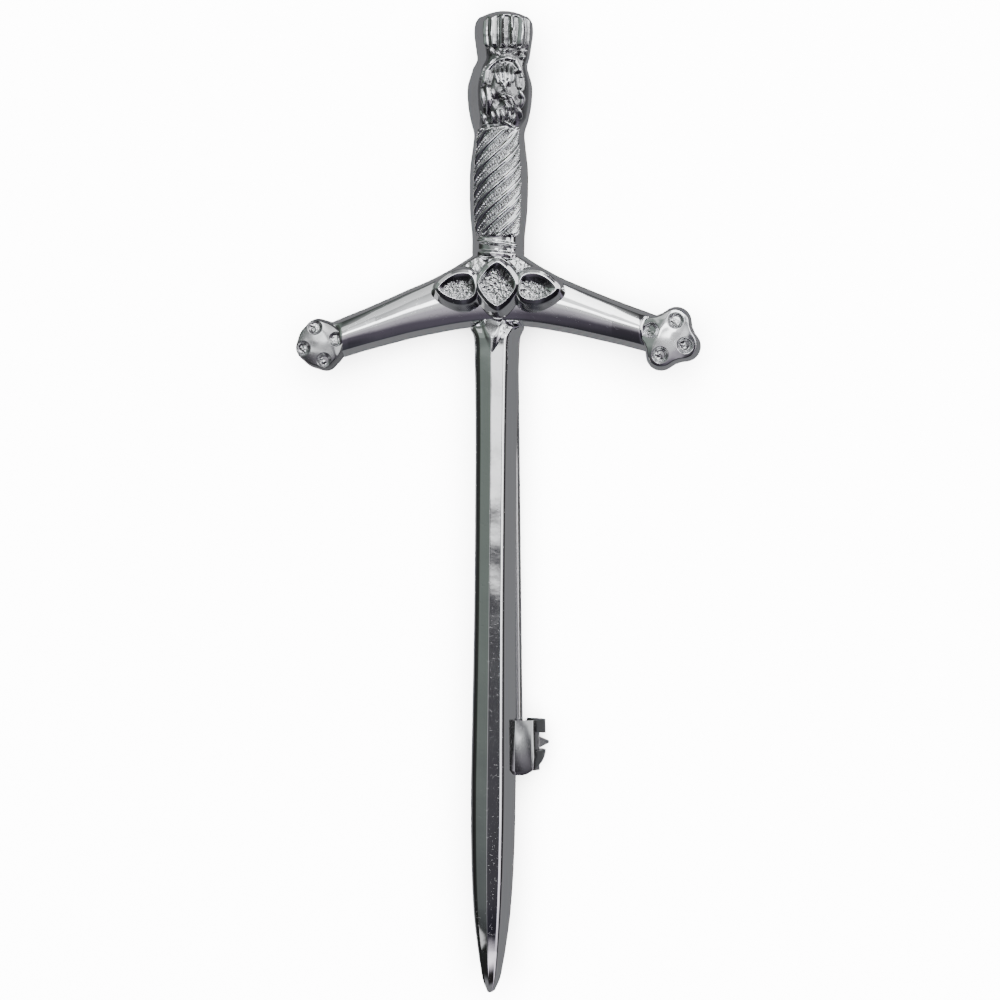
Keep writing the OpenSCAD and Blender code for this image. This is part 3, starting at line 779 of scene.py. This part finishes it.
@dataclass
class Guard:
    """The drooping arms of the guard and their four-lobed ends."""

    height: float = 6.6 * MM
    droop: float = 4.85 * MM
    shift: float = -0.33 * MM
    tilt: float = 1.2
    wall_h: float = 1.8 * MM
    crown_h: float = 0.5 * MM
    draft: float = 0.55 * MM
    shoulder: float = 1.15 * MM
    swell: float = 0.12 * MM
    dip: float = 0.75 * MM
    end_x: float = 17.75 * MM
    end_h: float = 2.7 * MM
    # Shares of the sheet's half height where the face ends and where the wall reaches the back
    edge: float = 0.56
    foot: float = 0.80
    rough_part: Stretch = (-0.3, 0.27, 0.05)
    # Rows of a share of the arm, how far it has drooped and its height, both as shares
    sections: Profile = Profile((
        (0.00, 0.00, 1.00), (0.12, 0.02, 0.98), (0.25, 0.12, 0.92), (0.35, 0.22, 0.87), (0.46, 0.34, 0.81),
        (0.60, 0.51, 0.74), (0.74, 0.68, 0.68), (0.88, 0.85, 0.64), (1.00, 1.00, 0.60),
    ))
    ends: Sequence[GuardEnd] = (
        GuardEnd("guard_end_right", 1, -24.0, 1.90 * MM, 1.60 * MM, 2.75 * MM, 0.82 * MM, 0.46 * MM, 0.1),
        GuardEnd("guard_end_left", -1, 16.0, 1.74 * MM, 1.06 * MM, 2.58 * MM, 0.74 * MM, 0.36 * MM, 0.6),
    )

    def place(self, x: np.ndarray, y: np.ndarray) -> tuple[np.ndarray, np.ndarray]:
        """Turns places by the guard's tilt, round its middle."""
        x, up = rotate(x, y - GUARD_Y, self.tilt)
        return x + self.shift * unit((np.abs(x) / MM - 3) / 6), GUARD_Y + up

    def sculpt(self, u: np.ndarray, v: np.ndarray) -> Sculpted:
        """Places the sheet's points over both arms, with rough ground round the boss.

        Args:
            u: places across the arms, from -1 to 1.
            v: places along them, from -1 to 1.

        Returns:
            The points, how stippled each is and how much painted shade and dulling each takes.
        """
        x = v * self.end_x
        share = np.abs(v)
        half = self.height / 2 * self.sections.at(share, 2)
        mid = GUARD_Y - self.droop * self.sections.at(share, 1)
        above = self.shoulder * (1 - unit((np.abs(x) / MM - 2.2) / 5.6)) ** 2
        half = half + np.where(u > 0, above, 0)
        side = np.abs(u)
        turn = unit(side / self.edge) * 90
        drop = unit((side - self.edge) / (self.foot - self.edge))
        keys = (0.0, self.edge, self.foot, 1.0)
        reach = rounded_path(side, keys, (0.0, half - self.draft, half, 0.0), 0.02)
        y = mid + np.sign(u) * reach * unit(side / 0.02) * unit((1 - side) / 0.02)
        z = BACK_Z + self.wall_h * rounded_path(side, keys, (1.0, 1.0, 0.0, 0.0), 0.02)
        dip = unit((share - np.where(x > 0, 0.835, 0.868)) / 0.05)
        swell = self.crown_h + self.swell * unit((share - 0.68) / 0.16) - self.dip * dip * dip
        z += swell * np.cos(np.radians(turn)) ** 0.8 * (1 - drop)
        x, y = self.place(x, y)
        points = np.stack([x, y, z], 1)
        rough = window(share, *self.rough_part) * unit(1 - drop * 4) * unit(u * 6 + 0.2)
        lumps = grain(points, 0.42 * MM, 4.0) * 0.07 * MM * rough
        points[:, 2] += lumps + grain(points, 3.0 * MM, 6.0) * 0.015 * MM * (1 - drop)
        # Painted shade and dulling on the rough ground round the boss.
        return points, rough, 0.35 * rough

    def sculpt_end(self, end: GuardEnd) -> Sculpting:
        """Gives the sculpting of one end.

        Args:
            end: its sizes.

        Returns:
            The function that places the sheet's points.
        """
        turn = end.turn - self.tilt

        def sculpt(u: np.ndarray, v: np.ndarray) -> Sculpted:
            """Places the points on rings from the middle out and down the wall.

            Args:
                u: places round the end, from -1 to 1.
                v: places outwards, from -1 to 1.

            Returns:
                The points, how stippled each is and how much painted shade and dulling each takes.
            """
            angle = u * math.pi
            ring = (v + 1) / 2
            keys = (0.0, 0.66, 0.88, 1.0)
            out = rounded_path(ring, keys, (0.0, 0.90, 1.0, 0.0), 0.04)
            out *= unit(ring / 0.04) * unit((1 - ring) / 0.04)
            height = rounded_path(ring, keys, (1.0, 1.0, 0.0, 0.0), 0.04)
            radius = end.outline(angle) * out
            px, py = radius * np.cos(angle), radius * np.sin(angle)
            bowl, lit = np.zeros_like(u), np.zeros_like(u)
            for lobe in range(4):
                at = lobe * math.pi / 2
                dx, dy = px - end.lobe_out * math.cos(at), py - end.lobe_out * math.sin(at)
                here = unit(1.10 - (dx * dx + dy * dy) / end.dimple_r**2)
                right, up = rotate(dx, dy, turn)
                away = 0.9 * right + 0.6 * up
                lit = np.where(here > bowl, unit(0.55 - 1.6 * away / end.dimple_r), lit)
                bowl = np.maximum(bowl, here)
            bowl = ease(bowl * 1.2)
            right, up = rotate(px, py, turn)
            towards = -0.9 * end.side * right + 0.43 * up
            dome = -0.26 * np.clip(np.hypot(px, py) / end.middle_r, 0, 1.2) ** 3
            dome -= 0.30 * ease((towards / end.middle_r - 0.30) / 0.65)
            z = BACK_Z + self.end_h * height
            z += (dome * MM - end.dimple_depth * bowl) * unit(height)
            x, y = self.place(self.end_x * end.side + right, GUARD_Y - self.droop + up)
            points = np.stack([x, y, z], 1)
            rough = unit((bowl - 0.45) / 0.3) * lit
            lumps = grain(points, 0.22 * MM, 7.0) * 0.07 * MM * rough
            lumps += grain(points, 1.1 * MM, 8.0) * 0.03 * MM
            points[:, 2] += lumps * unit(height)
            # Painted shade and dulling: the dimples get the darker tint, and each flat its own amount, the
            # left end's much more.
            return points, rough, end.tone + (0.35 - end.tone) * bowl

        return sculpt

    def build(self) -> list[bpy.types.Object]:
        """Makes the arms and both ends, finished."""
        arms = relief_sheet("guard_arms", 90, 520, self.sculpt)
        return [arms, *(relief_sheet(end.name, 260, 110, self.sculpt_end(end)) for end in self.ends)]


@dataclass
class Boss:
    """The raised boss: a lozenge between two pointed cells, each a rim round a rough sunk floor."""

    middle: Vector = field(default_factory=lambda: Vector((0, COLLAR_Y - 2.9 * MM, BACK_Z)))
    lozenge: tuple[float, float] = (2.62 * MM, 2.95 * MM)
    lozenge_bulge: float = 0.17
    lozenge_shift: float = 0.22 * MM
    lozenge_rise: float = 0.06 * MM
    right_shift: float = 0.45 * MM
    cell_len: float = 4.8 * MM
    cell_h: float = 3.6 * MM
    cell_drop: float = 0.30 * MM
    cell_at: float = 1.5 * MM
    cell_droop: float = 5.0
    rim: float = 0.56 * MM
    height: float = 3.2 * MM
    depth: float = 0.5 * MM
    brim: float = 0.06 * MM
    brim_drop: float = 0.20 * MM
    spread: float = 0.26 * MM
    apron: float = 0.60 * MM
    skirt_h: float = 2.05 * MM
    cell_soften: int = 150
    lozenge_soften: int = 1500
    line_points: int = 720
    # Where each corner of a cell's section lies, from its floor's middle to its back's middle
    keys: Sequence[float] = (0.0, 0.34, 0.46, 0.62, 0.76, 0.90, 1.0)
    corner_soft: float = 0.022
    # Where painted shade lies on the floor's slope and on the wall
    floor_slope: Stretch = (0.345, 0.435, 0.02)
    wall: Stretch = (0.50, 0.80, 0.03)

    def cell_outline(self, side: int) -> np.ndarray:
        """Outlines a side cell: round at the lozenge and pointed outwards.

        Args:
            side: 1 on the right and -1 on the left.

        Returns:
            Its corners, from the boss's middle.
        """
        turn = np.radians(np.arange(0, 360, 7.5))
        swell = np.sin(turn) * (1 - 0.25 * np.cos(turn))
        power = np.where(np.cos(turn) < 0, 0.75, 1.15)
        y = self.cell_h / 2 * np.copysign(np.abs(swell) ** power, swell)
        x, y = rotate(self.cell_len / 2 * np.cos(turn), y, -self.cell_droop)
        x = side * (x + self.cell_at + self.cell_len / 2) + (self.right_shift if side > 0 else 0)
        return np.stack([x, y - self.cell_drop], 1)

    def lozenge_outline(self) -> np.ndarray:
        """Outlines the middle lozenge, with its sides a little full.

        Returns:
            Its corners, from the boss's middle.
        """
        wide, tall = self.lozenge
        corners = np.array(((wide, 0), (0, tall), (-wide, 0), (0, -tall)))
        t = np.arange(8)[None, :, None] / 8
        sides = corners[:, None] + (np.roll(corners, -1, 0) - corners)[:, None] * t
        bulge = 1 + self.lozenge_bulge * np.sin(t * math.pi)
        return (sides * bulge).reshape(-1, 2) + (self.lozenge_shift, 0)

    def softened(self, outline: np.ndarray, soften: int) -> tuple[np.ndarray, np.ndarray]:
        """Makes a fine smooth line of an outline.

        Args:
            outline: its corners.
            soften: how many times it is smoothed.

        Returns:
            The line's points, and which way is out at each.
        """
        steps = np.linspace(0, len(outline), self.line_points + 1)[:-1]
        closed = np.vstack([outline, outline[:1]])
        index = steps.astype(int)
        line = closed[index] + (closed[index + 1] - closed[index]) * (steps - index)[:, None]
        for _ in range(soften):
            line = (np.roll(line, 1, 0) + line + np.roll(line, -1, 0)) / 3
        run = np.roll(line, -1, 0) - np.roll(line, 1, 0)
        normal = np.stack([run[:, 1], -run[:, 0]], 1)
        normal /= np.linalg.norm(normal, axis=1)[:, None]
        return line, normal if np.sum(normal * (line - line.mean(0))) >= 0 else -normal

    def block(self, name: str, outline: np.ndarray, height: float, soften: int) -> bpy.types.Object:
        """Makes one cell of the boss: a wall along its outline and a rim round a sunk, rough floor.

        Args:
            name: the piece's name.
            outline: its corners, from the boss's middle.
            height: its height over the casting's back.
            soften: how many times its outline is smoothed.

        Returns:
            The finished mesh.
        """
        line, normal = self.softened(outline, soften)
        centre = line.mean(0)
        reach = np.sum(normal * (line - centre), axis=1)
        rays = line - centre
        rays /= np.linalg.norm(rays, axis=1)[:, None]
        facing = rays @ normal.T

        def inset(amount: np.ndarray | float) -> np.ndarray:
            """Moves the outline inwards along the rays from its middle, so that it never folds at a tip."""
            limits = np.where(facing > 0.05, (reach - amount) / np.maximum(facing, 0.05), 1.0)
            return centre + rays * limits.min(axis=1)[:, None]

        shade = unit(normal @ np.array([0.45, 0.89]))
        foot = line + normal * (self.spread + self.apron * unit(-normal[:, 1:]))
        inmost = np.broadcast_to(centre, line.shape)
        rings = (inmost, inset(self.rim * (1.25 + 1.5 * shade)), inset(self.rim * 0.90), inset(self.brim),
                 foot, foot, inmost)
        floor_z = height - self.depth
        heights = (floor_z, floor_z, height, height - self.brim_drop, self.skirt_h, 0.0, 0.0)

        def sculpt(u: np.ndarray, v: np.ndarray) -> Sculpted:
            """Places rings of points from the middle over the rim, down the wall and under the back.

            Args:
                u: places round the cell, from -1 to 1.
                v: places outwards, from -1 to 1.

            Returns:
                The points, how stippled each is and how much painted shade and dulling each takes.
            """
            turn = np.mod((u + 1) / 2 * len(line), len(line))
            ring = (v + 1) / 2

            def around(values: np.ndarray) -> np.ndarray:
                """Reads the outline's values at each place round it."""
                return np.interp(turn, np.arange(len(line) + 1), np.append(values, values[0]))

            x = rounded_path(ring, self.keys, [around(row[:, 0]) for row in rings], self.corner_soft)
            y = rounded_path(ring, self.keys, [around(row[:, 1]) for row in rings], self.corner_soft)
            pin = unit((np.minimum(ring, 1 - ring) - 0.026) / 0.006)
            x, y = centre[0] + (x - centre[0]) * pin, centre[1] + (y - centre[1]) * pin
            z = rounded_path(ring, self.keys, heights, self.corner_soft)
            points = np.stack([x + self.middle.x, y + self.middle.y, z + self.middle.z], 1)
            rough = unit((0.42 - ring) / 0.08)
            lumps = grain(points, 0.24 * MM, 11.0) * 0.13 + grain(points, 0.13 * MM, 13.0) * 0.06
            waves = grain(points, 1.3 * MM, 12.0) * 0.05 * unit((0.85 - ring) / 0.1)
            points[:, 2] += (lumps * rough + waves) * MM
            # Painted shade: a little on the wall, more on the floor's slope along the cell's upper right, and
            # in the pits between the stipple's lumps.
            wall = window(ring, *self.wall) * 0.10
            slope = window(ring, *self.floor_slope) * (0.25 + 0.75 * around(shade))
            pit_shade = unit(0.12 - 4 * lumps) * rough
            return points, 0.5 * rough, np.maximum(np.maximum(pit_shade, wall), 0.85 * slope)

        return relief_sheet(name, 288, 84, sculpt)

    def build(self) -> list[bpy.types.Object]:
        """Makes the three cells.

        Returns:
            The finished meshes.
        """
        low, high = self.height, self.height + self.lozenge_rise
        return [
            self.block("cell_right", self.cell_outline(1), low, self.cell_soften),
            self.block("cell_left", self.cell_outline(-1), low, self.cell_soften),
            self.block("lozenge", self.lozenge_outline(), high, self.lozenge_soften),
        ]


@dataclass
class BackFittings:
    """The hinge block and the catch's housing, taken from the sword's own solid and softened."""

    edge: float = 0.07 * MM
    edge_angle: float = 45
    shade_angle: float = 35
    below_back: float = 0.004 * MM

    def build(self) -> bpy.types.Object:
        """Copies the solid, keeps what lies behind the casting and rounds its edges.

        Returns:
            The finished mesh.
        """
        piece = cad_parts["sword"].copy()
        piece.data = piece.data.copy()
        piece.name = "back_fittings"
        for key in list(piece.keys()):
            del piece[key]
        piece.parent = None
        piece.hide_viewport = piece.hide_render = False
        bpy.context.scene.collection.objects.link(piece)
        piece.hide_set(False)
        with editing(piece):
            bpy.ops.mesh.remove_doubles(threshold=WELD)
            bpy.ops.mesh.select_all(action="SELECT")
            bpy.ops.mesh.bisect(plane_co=(0, 0, BACK_Z - self.below_back), plane_no=(0, 0, 1),
                                clear_outer=True, use_fill=True, threshold=1e-7)
            bpy.ops.mesh.select_all(action="SELECT")
            bpy.ops.mesh.dissolve_limited(angle_limit=math.radians(1.0))
        bevel_edges(piece, self.edge, 2, self.edge_angle)
        plain = np.zeros(len(piece.data.vertices))
        store(piece, plain, plain)
        settle(piece, self.shade_angle)
        return piece


@dataclass(frozen=True)
class Studio:
    """A plain pale floor, soft light and the camera at the photograph's view."""

    azimuth: float = 5.5
    elevation: float = -0.19
    roll: float = 0.49
    distance: float = 354.4 * MM
    pixels_a_unit: float = 3468.0
    target: tuple[float, float, float] = (0.37 * MM, 0.01 * MM, 5.0 * MM)
    floor_size: float = 3.0
    floor_tone: float = 0.90
    key_place: tuple[float, float, float] = (0.05, 0.10, 1.0)
    key_size: float = 1.3
    key_power: float = 230.0
    # What lies round the pin: colours by direction, across from left to right and along from tip to pommel
    room_across: Sequence[tuple[float, Colour]] = (
        (-1.00, (0.04, 0.04, 0.04)), (-0.86, (0.06, 0.07, 0.06)), (-0.70, (0.24, 0.28, 0.255)),
        (-0.48, (0.24, 0.27, 0.255)), (-0.28, (0.52, 0.53, 0.53)), (-0.06, (1.25, 1.26, 1.28)),
        (0.10, (1.15, 1.16, 1.18)), (0.28, (0.26, 0.26, 0.28)), (0.52, (0.12, 0.12, 0.13)),
        (0.70, (0.06, 0.06, 0.08)), (0.84, (4.00, 4.00, 4.00)), (0.93, (0.05, 0.05, 0.05)),
    )
    room_along: Sequence[tuple[float, Colour]] = (
        (-1.00, (0.05, 0.05, 0.06)), (-0.45, (0.08, 0.07, 0.09)), (-0.16, (0.45, 0.42, 0.46)),
        (0.02, (0.74, 0.74, 0.74)), (0.10, (1.25, 1.25, 1.25)), (0.40, (1.30, 1.30, 1.30)),
        (0.70, (0.60, 0.60, 0.60)), (0.95, (0.15, 0.15, 0.15)),
    )
    # Bright panels: direction across and along, half sizes and brightness
    panels: Sequence[tuple[tuple[float, float], tuple[float, float], float]] = (
        ((0.62, 0.40), (0.20, 0.33), 2.0), ((0.24, 0.62), (0.20, 0.20), 4.0),
        ((-0.34, 0.66), (0.20, 0.12), 0.6), ((-0.02, 0.23), (0.15, 0.075), 4.5),
        ((-0.72, -0.45), (0.10, 0.22), 0.8),
    )
    below: Colour = (0.22, 0.22, 0.23)
    # The slow wander of the room's edges: its scale, and how far it goes across and along
    haze_scale: float = 2.2
    haze: float = 0.16

    def camera(self) -> None:
        """Places the camera face on to the sword, a little to its right."""
        turn, lift, roll = (math.radians(angle) for angle in (self.azimuth, self.elevation, self.roll))
        towards = Vector((math.sin(turn) * math.cos(lift), math.sin(lift), math.cos(turn) * math.cos(lift)))
        right = Vector((0, 1, 0)).cross(towards).normalized()
        up = towards.cross(right)
        tilted_right = right * math.cos(roll) + up * math.sin(roll)
        tilted_up = towards.cross(tilted_right)
        data = bpy.data.cameras.new("camera")
        data.sensor_fit, data.sensor_width = "AUTO", 36.0
        data.lens = self.pixels_a_unit / 1000 * data.sensor_width
        data.clip_start, data.clip_end = 0.01, 20.0
        camera = bpy.data.objects.new("camera", data)
        bpy.context.scene.collection.objects.link(camera)
        place = Vector(self.target) + towards * self.distance
        rows = [(tilted_right[i], tilted_up[i], towards[i], place[i]) for i in range(3)]
        camera.matrix_world = Matrix((*rows, (0, 0, 0, 1)))
        bpy.context.scene.camera = camera

    def floor(self) -> None:
        """Lays the pale floor that the pin rests on."""
        bpy.ops.object.select_all(action="DESELECT")
        bpy.ops.mesh.primitive_plane_add(size=self.floor_size)
        floor = bpy.context.object
        floor.name = "floor"
        paper = bpy.data.materials.new("pale_paper")
        paper.use_nodes = True
        feed(paper.node_tree, paper.node_tree.nodes["Principled BSDF"], {
            "Base Color": (*[self.floor_tone] * 3, 1), "Roughness": 0.9, "Specular IOR Level": 0.1,
        })
        floor.data.materials.append(paper)
        floor.visible_glossy = False

    def key(self) -> None:
        """Hangs the one soft light over the pin, where the metal doesn't mirror it."""
        data = bpy.data.lights.new("key", "AREA")
        data.shape, data.energy = "RECTANGLE", self.key_power
        data.size = data.size_y = self.key_size
        light = bpy.data.objects.new("key", data)
        light.location = self.key_place
        light.rotation_euler = (-Vector(self.key_place)).to_track_quat("-Z", "Y").to_euler()
        light.visible_glossy = False
        bpy.context.scene.collection.objects.link(light)

    def surroundings(self) -> None:
        """Paints the room that the metal mirrors: pale overhead, with darker walls and bright panels."""
        world = bpy.data.worlds.new("studio")
        bpy.context.scene.world = world
        world.use_nodes = True
        tree = world.node_tree
        place = add_node(tree, "TexCoord").outputs["Generated"]
        haze = add_node(tree, "TexNoise", {"Scale": self.haze_scale, "Vector": place}).outputs["Color"]
        place = add_node(tree, "VectorMath", {0: haze, 1: (self.haze, self.haze, 0.0), 2: place},
                         operation="MULTIPLY_ADD").outputs[0]
        parts = add_node(tree, "SeparateXYZ", {0: place}).outputs

        def ramp(axis: str, stops: Sequence[tuple[float, Colour]]) -> bpy.types.NodeSocket:
            """Adds a colour ramp over one axis of the direction.

            Args:
                axis: the name of the axis.
                stops: places from -1 to 1 and the colours there.

            Returns:
                The ramp's colour.
            """
            middle = self.haze / 2
            inputs = {"From Min": middle - 1, "From Max": middle + 1, "Value": parts[axis]}
            node = add_node(tree, "ValToRGB", {0: add_node(tree, "MapRange", inputs).outputs["Result"]})
            node.color_ramp.interpolation = "EASE"
            node.color_ramp.elements.remove(node.color_ramp.elements[1])
            for index, (at, colour) in enumerate(stops):
                where = (at + 1) / 2
                stop = node.color_ramp.elements[0] if index == 0 else node.color_ramp.elements.new(where)
                stop.position, stop.color = where, (*colour, 1)
            return node.outputs["Color"]

        def mixed(kind: str, a: bpy.types.NodeSocket, b: bpy.types.NodeSocket) -> bpy.types.NodeSocket:
            """Mixes two colours in full by a kind of blend."""
            inputs = {"Factor": 1.0, "A": a, "B": b}
            return add_node(tree, "Mix", inputs, data_type="RGBA", blend_type=kind).outputs["Result"]

        room = mixed("MULTIPLY", ramp("X", self.room_across), ramp("Y", self.room_along))
        for (x, y), (wide, tall), glow in self.panels:
            scale, offset = (1 / wide, 1 / tall, 0), (-x / wide, -y / tall, 0)
            local = add_node(tree, "VectorMath", {0: place, 1: scale, 2: offset}, operation="MULTIPLY_ADD")
            reach = add_node(tree, "VectorMath", {0: local.outputs[0]}, operation="LENGTH").outputs["Value"]
            inputs = {"From Min": 0.92, "From Max": 1.10, "To Min": glow, "To Max": 0.0, "Value": reach}
            glare = add_node(tree, "MapRange", inputs, interpolation_type="SMOOTHSTEP")
            room = mixed("ADD", room, glare.outputs["Result"])
        lower = add_node(tree, "MapRange", {"From Min": 0.14, "From Max": -0.10, "Value": parts["Z"]},
                         interpolation_type="SMOOTHSTEP").outputs["Result"]
        whole = add_node(tree, "Mix", {"A": room, "B": (*self.below, 1), "Factor": lower}, data_type="RGBA")
        feed(tree, tree.nodes["Background"], {"Color": whole.outputs["Result"]})

    def build(self) -> None:
        """Sets the whole studio."""
        self.camera()
        self.floor()
        self.surroundings()
        self.key()


def main() -> None:
    """Builds the studio and every piece in order."""
    logging.basicConfig(level=logging.INFO, format="%(message)s")
    Studio().build()
    castings = [Handle().build(), Blade().build(), *Guard().build(), *Boss().build()]
    for piece in castings:
        dress(piece, CHROME, "sword", "sword")
    dress(BackFittings().build(), BACK, "sword", "sword")
    for node, finish in (("pin_stem", WIRE), ("rivet", WIRE), ("catch_lock", BARREL)):
        coat(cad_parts[node], finish)


if __name__ == "__main__":
    main()
